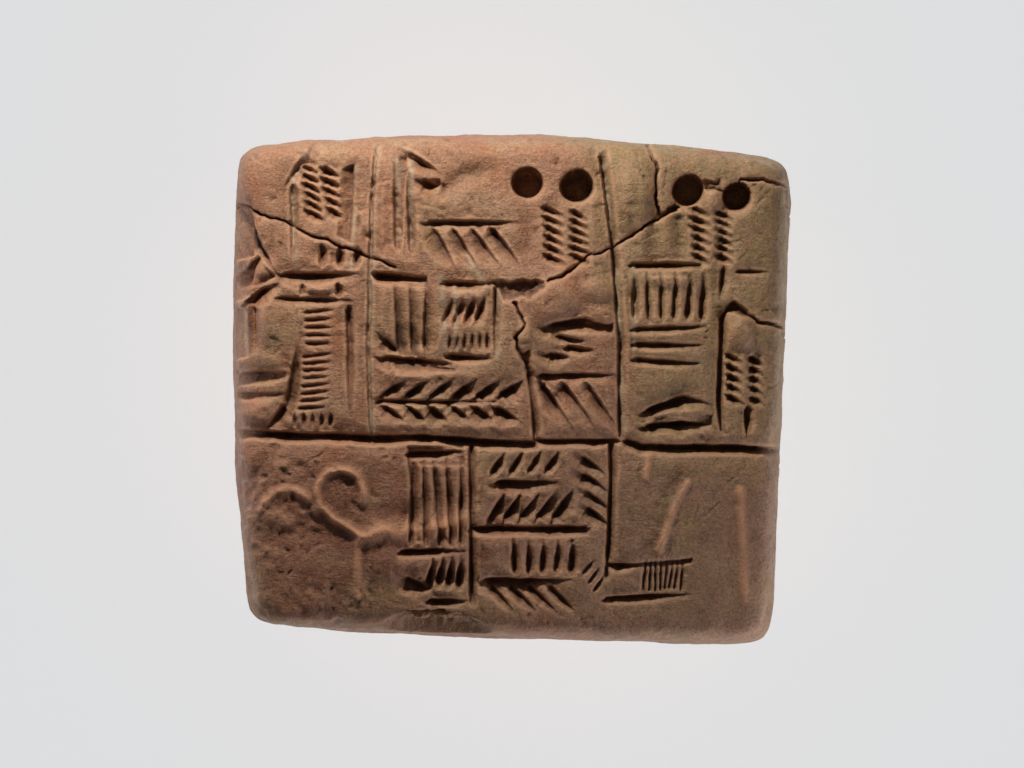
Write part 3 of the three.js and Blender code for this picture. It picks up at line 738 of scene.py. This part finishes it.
def fractures(points):
    """How close each point of the sides and back is to a break that runs through the body."""
    x, y, z = points[..., 0], points[..., 1], points[..., 2]
    wander = 0.5 * fractal(points, 3.0, 141, 3)
    main = y - 20.4 + 0.12 * (40 - z) - 1.2 * np.sin(x / 7) * smooth(38, 20, z) + wander
    upper = x - 14.5 - 0.06 * (40 - z) + wander
    right = y - 6.6 + 0.1 * (40 - z) + wander
    near = np.minimum(abs(main), np.where(main > 0, abs(upper), 9))
    return np.minimum(near, np.where((x > 18) & (main < 0), abs(right), 9))


def egg_place(points, centre, radii, turn):
    """Points seen from the middle of a lying egg, in which the egg is a ball of radius 1."""
    x, y, z = np.moveaxis(points - np.array(centre), -1, 0)
    across = x * math.cos(turn) + y * math.sin(turn)
    along = y * math.cos(turn) - x * math.sin(turn)
    return np.stack([across / radii[0], along / radii[1], z / radii[2]], -1)


def bitten(points, normals, egg):
    """How far each point sinks along its normal to leave an egg-shaped bite."""
    centre, radii, turn = egg
    at = egg_place(points, centre, radii, turn)
    way = -egg_place(normals + np.array(centre), centre, radii, turn)
    a = (way * way).sum(-1)
    b = (at * way).sum(-1)
    c = (at * at).sum(-1) - 1
    return np.where(c < 0, (np.sqrt(np.maximum(b * b - a * c, 0)) - b) / a, 0)


def displaced(net, normals, face):
    """A net with the marks of the face, the breaks and the surface's own unevenness."""
    x, y, z = net[..., 0], net[..., 1], net[..., 2]
    on_face = smooth(*RELIEF_FADE, z) * (normals[..., 2] > 0)
    cut = face.sample(face.cut, x, y)
    rise = face.sample(face.rise, x, y)
    seam = np.clip(1 - fractures(net) / SEAM_WIDTH, 0, 1) ** 0.7
    side = side_relief(net) - SEAM_DEPTH * seam
    own = 0.24 * fractal(net, 4.6, 151, 2) + 0.075 * fractal(net, 1.5, 161, 3)
    moved = on_face * (rise + own - cut) + (1 - on_face) * side
    points = net + normals * moved[..., None]
    torn = 1 + 0.35 * fractal(net, 1.2, 171, 3)
    for egg in BITES:
        points -= normals * (bitten(points, normals, egg) * torn)[..., None]
    points[..., 2] = np.maximum(points[..., 2], 0)
    return points


def net_triangles(rings, index):
    """Two triangles for each cell of a square net, cut along the way out from its middle."""
    a, b = index[:-1, :-1], index[1:, :-1]
    c, d = index[1:, 1:], index[:-1, 1:]
    step = np.arange(-rings, rings) + 0.5
    straight = (step[:, None] * step[None, :] > 0)[..., None]
    first = np.where(straight, np.stack([a, b, c], -1), np.stack([b, c, d], -1))
    second = np.where(straight, np.stack([a, c, d], -1), np.stack([b, d, a], -1))
    return np.concatenate([first.reshape(-1, 3), second.reshape(-1, 3)])


def body_arrays(face):
    """The points and triangles of the whole closed surface."""
    front = skin(face_sizes(), back=False)
    front_normals = normals_of(front)
    front = displaced(front, front_normals, face)
    span = 2 * FACE_RINGS + 1
    front_index = np.arange(span * span).reshape(span, span)

    back = skin(back_sizes(), back=True)
    back_normals = -normals_of(back)
    back = displaced(back, back_normals, face)
    small = 2 * BACK_RINGS + 1
    back_index = np.full((small, small), -1)
    inner = back_index[1:-1, 1:-1]
    inner[:] = span * span + np.arange(inner.size).reshape(inner.shape)
    # The waist is shared: the back takes every second point of the face's last ring.
    for edge in ((0, slice(None)), (-1, slice(None)), (slice(None), 0), (slice(None), -1)):
        back_index[edge] = front_index[::2, ::2][edge]

    triangles = [net_triangles(FACE_RINGS, front_index)]
    triangles.append(net_triangles(BACK_RINGS, back_index)[:, ::-1])
    # A thin triangle closes the waist at each point that the back leaves out.
    loop = np.concatenate([
        front_index[:, 0][:-1], front_index[-1, :][:-1],
        front_index[::-1, -1][:-1], front_index[0, ::-1][:-1],
    ])
    triangles.append(np.stack([loop[::2], np.roll(loop, -2)[::2], loop[1::2]], -1)[:, ::-1])
    points = np.concatenate([front.reshape(-1, 3), back[1:-1, 1:-1].reshape(-1, 3)])
    return points, np.concatenate(triangles)


def make_mesh(name, points, triangles):
    """A mesh from points in metres and triangles that name them."""
    mesh = bpy.data.meshes.new(name)
    mesh.vertices.add(len(points))
    mesh.vertices.foreach_set("co", points.astype(np.float32).ravel())
    mesh.loops.add(triangles.size)
    mesh.loops.foreach_set("vertex_index", triangles.astype(np.int32).ravel())
    mesh.polygons.add(len(triangles))
    mesh.polygons.foreach_set("loop_start", np.arange(0, triangles.size, 3, dtype=np.int32))
    mesh.update(calc_edges=True)
    mesh.validate()
    return mesh


def thinned(mesh, limit):
    """A copy of a mesh with fewer triangles where the surface is plain."""
    worker = bpy.data.objects.new("worker", mesh)
    bpy.context.scene.collection.objects.link(worker)
    thin = worker.modifiers.new("thin", "DECIMATE")
    thin.ratio = limit / len(mesh.polygons)
    depsgraph = bpy.context.evaluated_depsgraph_get()
    result = bpy.data.meshes.new_from_object(worker.evaluated_get(depsgraph))
    bpy.data.objects.remove(worker)
    bpy.data.meshes.remove(mesh)
    return result


def set_values(mesh, name, values):
    """Store a number or a colour for each point of a mesh."""
    values = np.asarray(values, np.float32)
    coloured = values.ndim == 2
    attribute = mesh.attributes.new(name, "FLOAT_COLOR" if coloured else "FLOAT", "POINT")
    if coloured:
        values = np.concatenate([values, np.ones((len(values), 1), np.float32)], 1)
    attribute.data.foreach_set("color" if coloured else "value", values.ravel())


# ---- Colours of the clay ------------------------------------------------------------------------

TERRACOTTA = (0.45, 0.212, 0.108)
OLIVE = (0.37, 0.235, 0.100)
RED = (0.43, 0.150, 0.062)
DUSK = (0.33, 0.130, 0.066)
UMBER = (0.35, 0.195, 0.104)
BUFF = (0.50, 0.310, 0.160)

# Stains, temper and what lies on the clay, with painted shade and a painted highlight among them.
PALE_CLOUD = (0.50, 0.29, 0.165)
DARK_STAIN = (0.22, 0.105, 0.06)
RUDDY_STAIN = (0.45, 0.16, 0.07)
DARK_SPECK = (0.07, 0.035, 0.025)
PALE_SPECK = (0.62, 0.46, 0.34)
# The rubbed edge colour is also a painted highlight on convex ridges.
RUBBED_EDGE_AND_HIGHLIGHT = (0.66, 0.36, 0.20)
RUBBED_FORM = (0.72, 0.34, 0.165)
BROKEN_CLAY = (0.40, 0.20, 0.12)
CRUMBLED_CLAY = (0.47, 0.235, 0.12)
# The two soil colours also stand for painted shade in deep marks and creases.
SOIL_AND_SHADE = (0.085, 0.042, 0.028)
THIN_SOIL_AND_SHADE = (0.13, 0.062, 0.038)
PALE_SILT = (0.55, 0.40, 0.25)
FLOOR_COLOUR = (0.79, 0.805, 0.815, 1)

# Patches of the face: the colour, how strong it is, and x, y and the two radii.
PATCHES = [
    (OLIVE, 0.75, (0, -8, 5, 4.5)),
    (OLIVE, 0.6, (-11, 6, 5, 3.5)),
    (OLIVE, 0.7, (-25, 3.5, 2.6, 6)),
    (RED, 0.7, (-13.6, 19, 2.6, 5)),
    (RED, 0.7, (-18.6, 5, 1.8, 4)),
    (RED, 0.55, (-8, 21, 3, 2.4)),
    (RED, 0.6, (-27, -6.2, 3, 1.6)),
    (RED, 0.9, (22.5, 25.6, 3.2, 0.7)),
    (RED, 0.45, (6, 2, 3.6, 4.6)),
    (TERRACOTTA, 0.8, (-10.5, -15, 6, 1.6)),
]


def clay_tints(points):
    """The broad patches of colour that the firing and the ground left at each point, and a tone
    that darkens towards the bottom.
    """
    x, y = points[:, 0], points[:, 1]
    drift = 3.2 * fractal(points, 9.0, 201, 3)
    tint = np.tile(np.array(TERRACOTTA), (len(points), 1))

    def blend(colour, share):
        share = np.clip(share, 0, 1)[:, None]
        tint[:] = tint * (1 - share) + np.array(colour) * share

    def near(at_x, at_y, radius_x, radius_y):
        far = np.hypot((x - at_x) / radius_x, (y - at_y) / radius_y)
        return smooth(1.2, 0.3, far + ragged)

    ragged = 0.4 * lattice(points, 2.2, 231)
    blend(OLIVE, smooth(9, 16, x + 0.25 * y + drift))
    # Darker towards the bottom: dusky to the lower left, umber to the lower right.
    blend(DUSK, smooth(-2, -12, y + drift) * smooth(8, -6, x + drift))
    blend(UMBER, smooth(0, -12, y + drift) * smooth(0, 10, x + drift))
    for colour, share, place in PATCHES:
        blend(colour, share * near(*place))
    patches = smooth(0.15, 0.65, lattice(points, 4.5, 211)) * smooth(16, -2, x)
    blend(RED, 0.6 * patches)
    blend(OLIVE, 0.6 * smooth(0.2, 0.7, lattice(points, 6.5, 221)))
    blend(BUFF, 0.5 * smooth(0.25, 0.75, lattice(points, 3.5, 241)))
    return tint


def blurred(raster):
    """A raster in which each cell takes in its neighbours."""
    for axis in (0, 1):
        raster = (raster + np.roll(raster, 1, axis) + np.roll(raster, -1, axis)) / 3
    return raster


def finish_attributes(mesh, face):
    """Store what the material needs to know about each point of the clay."""
    count = len(mesh.vertices)
    points = np.empty(count * 3, np.float32)
    mesh.vertices.foreach_get("co", points)
    points = points.reshape(-1, 3) / MM
    x, y, z = points.T
    on_face = smooth(*COLOUR_FADE, z)
    seam = np.exp(-((fractures(points) / SEAM_WIDTH) ** 2)) * (1 - on_face)
    height = blurred(face.rise - face.cut)
    curve = 4 * height - sum(np.roll(height, step, axis) for step in (3, -3) for axis in (0, 1))
    bite = np.zeros(len(points))
    for centre, radii, turn in BITES:
        far = np.linalg.norm(egg_place(points, centre, radii, turn), axis=-1)
        bite = np.maximum(bite, smooth(1.3, 1.05, far))
    depth = np.clip(face.sample(face.cut, x, y) / 1.1, 0, 1)
    # How deep the marks and breaks go; the material paints them darker with soil and painted
    # shade.
    set_values(mesh, "hollow", np.maximum(depth * on_face, seam))
    # Convex curvature, which the material paints paler as rubbing and a painted highlight.
    set_values(mesh, "edge", np.clip(face.sample(curve, x, y) * 3, 0, 1) * on_face)
    # Concave curvature, which the material paints darker as shade in creases, with thin soil.
    set_values(mesh, "valley", np.clip(-face.sample(curve, x, y) * 3, 0, 1) * on_face)
    set_values(mesh, "broken", np.maximum(face.sample(face.broken, x, y) * on_face, bite))
    shares = {"silt": face.pale, "rubbed": face.rubbed, "crumbled": face.crumbled}
    for name, raster in shares.items():
        set_values(mesh, name, face.sample(raster, x, y) * on_face)
    set_values(mesh, "tint", clay_tints(points))


class Nodes:
    """Short calls for building a material's nodes."""

    def __init__(self, name):
        self.material = bpy.data.materials.new(name)
        self.material.use_nodes = True
        self.tree = self.material.node_tree
        self.shader = self.tree.nodes["Principled BSDF"]
        self.place = self.node("ShaderNodeTexCoord").outputs["Object"]

    def node(self, kind, **values):
        node = self.tree.nodes.new(kind)
        for key, value in values.items():
            setattr(node, key, value)
        return node

    def link(self, source, target):
        self.tree.links.new(source, target)

    def attribute(self, name, output="Fac"):
        return self.node("ShaderNodeAttribute", attribute_name=name).outputs[output]

    def noise(self, size_mm, detail=3.0, roughness=0.55, stretch=None):
        """Noise from 0 to 1 with features about size_mm across, longer where stretch is low."""
        noise = self.node("ShaderNodeTexNoise")
        noise.inputs["Scale"].default_value = 1 / (size_mm * MM)
        noise.inputs["Detail"].default_value = detail
        noise.inputs["Roughness"].default_value = roughness
        place = self.place
        if stretch:
            mapping = self.node("ShaderNodeMapping")
            mapping.inputs["Scale"].default_value = stretch
            mapping.inputs["Rotation"].default_value = (0, 0, 0.5)
            self.link(place, mapping.inputs["Vector"])
            place = mapping.outputs["Vector"]
        self.link(place, noise.inputs["Vector"])
        return noise.outputs["Fac"]

    def feed(self, value, socket):
        """Link an output to a socket, or set the socket to a number or a colour."""
        if hasattr(value, "links"):
            self.link(value, socket)
        else:
            socket.default_value = (*value, 1) if isinstance(value, tuple) else value

    def times(self, a, b):
        node = self.node("ShaderNodeMath", operation="MULTIPLY")
        self.feed(a, node.inputs[0])
        self.feed(b, node.inputs[1])
        return node.outputs[0]

    def span(self, value, low, high, to_low=0.0, to_high=1.0):
        """A value that goes softly from to_low to to_high as another goes from low to high."""
        node = self.node("ShaderNodeMapRange", interpolation_type="SMOOTHSTEP")
        self.link(value, node.inputs["Value"])
        limits = {"From Min": low, "From Max": high, "To Min": to_low, "To Max": to_high}
        for key, number in limits.items():
            node.inputs[key].default_value = number
        return node.outputs["Result"]

    def mix(self, share, first, second, blend="MIX"):
        node = self.node("ShaderNodeMix", data_type="RGBA", blend_type=blend)
        # The colour sockets of a mix node are its inputs 6 and 7 and its output 2.
        for value, place in ((share, 0), (first, 6), (second, 7)):
            self.feed(value, node.inputs[place])
        return node.outputs[2]

    def bump(self, height, distance_mm, strength, under=None):
        node = self.node("ShaderNodeBump")
        node.inputs["Distance"].default_value = distance_mm * MM
        node.inputs["Strength"].default_value = strength
        self.link(height, node.inputs["Height"])
        if under is not None:
            self.link(under, node.inputs["Normal"])
        return node.outputs["Normal"]


def clay_material():
    """Baked clay, mottled and stained, with soil and silt where the relief holds them, painted
    shade in the marks and creases, and a painted highlight on convex edges.
    """
    n = Nodes("baked_clay")
    colour = n.attribute("tint", "Color")

    def stain(share, strength, onto):
        return n.mix(n.times(share, strength), colour, onto)

    # Mottling: broad clouds, dark and ruddy stains, a fine grain, and specks of temper.
    colour = stain(n.span(n.noise(2.6, 5), 0.42, 0.68), 0.4, PALE_CLOUD)
    colour = stain(n.span(n.noise(1.5, 5), 0.52, 0.72), 0.5, DARK_STAIN)
    colour = stain(n.span(n.noise(0.9, 4), 0.5, 0.74), 0.4, RUDDY_STAIN)
    grain = n.span(n.noise(0.32, 4, 0.7), 0.3, 0.72, 0.7, 1.24)
    colour = n.mix(1.0, colour, grain, "MULTIPLY")
    colour = stain(n.span(n.noise(0.28, 1), 0.69, 0.76), 0.7, DARK_SPECK)
    colour = stain(n.span(n.noise(0.42, 1), 0.72, 0.78), 0.5, PALE_SPECK)
    # Rubbed edges are paler and carry a painted highlight, broken ground is dull, and the marks
    # hold dark soil with painted shade, and pale silt.
    # Painted highlight on convex ridges, with rubbing.
    colour = stain(n.attribute("edge"), 0.65, RUBBED_EDGE_AND_HIGHLIGHT)
    colour = stain(n.attribute("rubbed"), 0.75, RUBBED_FORM)
    colour = stain(n.attribute("broken"), 0.3, BROKEN_CLAY)
    caked = n.span(n.noise(0.8, 4), 0.4, 0.62)
    colour = stain(n.times(n.attribute("crumbled"), caked), 0.5, CRUMBLED_CLAY)
    # Painted shade with soil: the deeper the mark, the darker its colour.
    soil_and_shade = n.span(n.attribute("hollow"), 0.35, 1.0)
    soil_and_shade = n.times(soil_and_shade, n.span(n.noise(0.9, 3), 0.25, 0.6, 0.35, 0.85))
    colour = n.mix(soil_and_shade, colour, SOIL_AND_SHADE)
    # Painted shade in creases, with thin soil.
    colour = stain(n.attribute("valley"), 0.5, THIN_SOIL_AND_SHADE)
    colour = stain(n.attribute("silt"), 0.8, PALE_SILT)
    n.link(colour, n.shader.inputs["Base Color"])
    rough = n.span(n.noise(1.3, 4), 0.3, 0.7, 0.42, 0.72)
    n.link(rough, n.shader.inputs["Roughness"])
    n.shader.inputs["Specular IOR Level"].default_value = 0.45
    fine = n.bump(n.noise(0.2, 3, 0.65), 0.12, 0.9)
    wiped = n.bump(n.noise(0.36, 3, 0.6, (0.22, 1.0, 1.0)), 0.09, 0.8, fine)
    n.link(n.bump(n.noise(0.6, 5, 0.65), 0.18, 0.85, wiped), n.shader.inputs["Normal"])
    return n.material


# ---- The piece ----------------------------------------------------------------------------------

face = make_face()
points, triangles = body_arrays(face)
mesh = thinned(make_mesh("dense", points * MM, triangles), MAX_TRIANGLES)
mesh.name = "tablet_clay"
finish_attributes(mesh, face)
mesh.polygons.foreach_set("use_smooth", np.ones(len(mesh.polygons), bool))
mesh.materials.clear()
mesh.materials.append(clay_material())
tablet = bpy.data.objects.new("tablet_clay", mesh)
bpy.context.scene.collection.objects.link(tablet)
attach(tablet, "root")
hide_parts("tablet")

# ---- Floor, lights and camera -------------------------------------------------------------------

FLOOR_SIZE = 6.0
floor_mesh = bpy.data.meshes.new("floor")
half = FLOOR_SIZE / 2
corners = [(-half, -half, 0), (half, -half, 0), (half, half, 0), (-half, half, 0)]
floor_mesh.from_pydata(corners, [], [(0, 1, 2, 3)])
floor = bpy.data.objects.new("floor", floor_mesh)
bpy.context.scene.collection.objects.link(floor)
paper = Nodes("pale_floor")
paper.shader.inputs["Base Color"].default_value = FLOOR_COLOUR
paper.shader.inputs["Roughness"].default_value = 0.9
paper.shader.inputs["Specular IOR Level"].default_value = 0.1
floor_mesh.materials.append(paper.material)


def only(name, thing):
    """A collection that holds one object, for a light that reaches or is blocked by it alone."""
    group = bpy.data.collections.new(name)
    group.objects.link(thing)
    return group


tablet_only = only("lit_tablet", tablet)
floor_only = only("lit_floor", floor)


def area_light(name, place_mm, target_mm, size_mm, power, colour):
    """A round lamp that lights the tablet alone."""
    light = bpy.data.lights.new(name, "AREA")
    light.shape = "DISK"
    light.size = size_mm * MM
    light.energy = power
    light.color = colour
    lamp = bpy.data.objects.new(name, light)
    bpy.context.scene.collection.objects.link(lamp)
    place = np.array(place_mm) * MM
    aim = np.array(target_mm) * MM - place
    yaw = math.atan2(aim[0], -aim[1])
    pitch = math.acos(-aim[2] / np.linalg.norm(aim))
    lamp.location = place
    lamp.rotation_euler = (-pitch, 0, yaw)
    lamp.light_linking.receiver_collection = tablet_only


area_light("key", (-26, 93, 93), (0, 4, 40), 14, 0.104, (1.0, 0.975, 0.95))
area_light("right_rim", (92, -92, 56), (22, -18, 34), 40, 0.06, (0.95, 0.9, 1.0))
area_light("left_rim", (-118, 0, 40), (-28, 0, 32), 40, 0.02, (0.92, 0.88, 1.0))
sun = bpy.data.lights.new("floor_sun", "SUN")
sun.energy = 2.7
sun.angle = 0.5
sun_lamp = bpy.data.objects.new("floor_sun", sun)
bpy.context.scene.collection.objects.link(sun_lamp)
sun_lamp.light_linking.receiver_collection = floor_only
sun_lamp.light_linking.blocker_collection = floor_only

world = bpy.data.worlds.new("studio")
bpy.context.scene.world = world
world.use_nodes = True
background = world.node_tree.nodes["Background"]
background.inputs["Color"].default_value = (0.93, 0.93, 1.0, 1)
background.inputs["Strength"].default_value = 0.045

# The camera looks straight down, and its frame is FRAME_WIDTH wide at the height of the waist.
FRAME_WIDTH = 111.1
DISTANCE = 1200.0
AIM_X, AIM_Y = 0.05, 0.6
SENSOR = 36
camera_data = bpy.data.cameras.new("camera")
camera_data.sensor_width = SENSOR
camera_data.lens = SENSOR * DISTANCE / FRAME_WIDTH
camera_data.clip_end = 20
camera = bpy.data.objects.new("camera", camera_data)
camera.location = (AIM_X * MM, AIM_Y * MM, (WAIST + DISTANCE) * MM)
bpy.context.scene.collection.objects.link(camera)
bpy.context.scene.camera = camera
bpy.context.scene.view_settings.view_transform = "Standard"
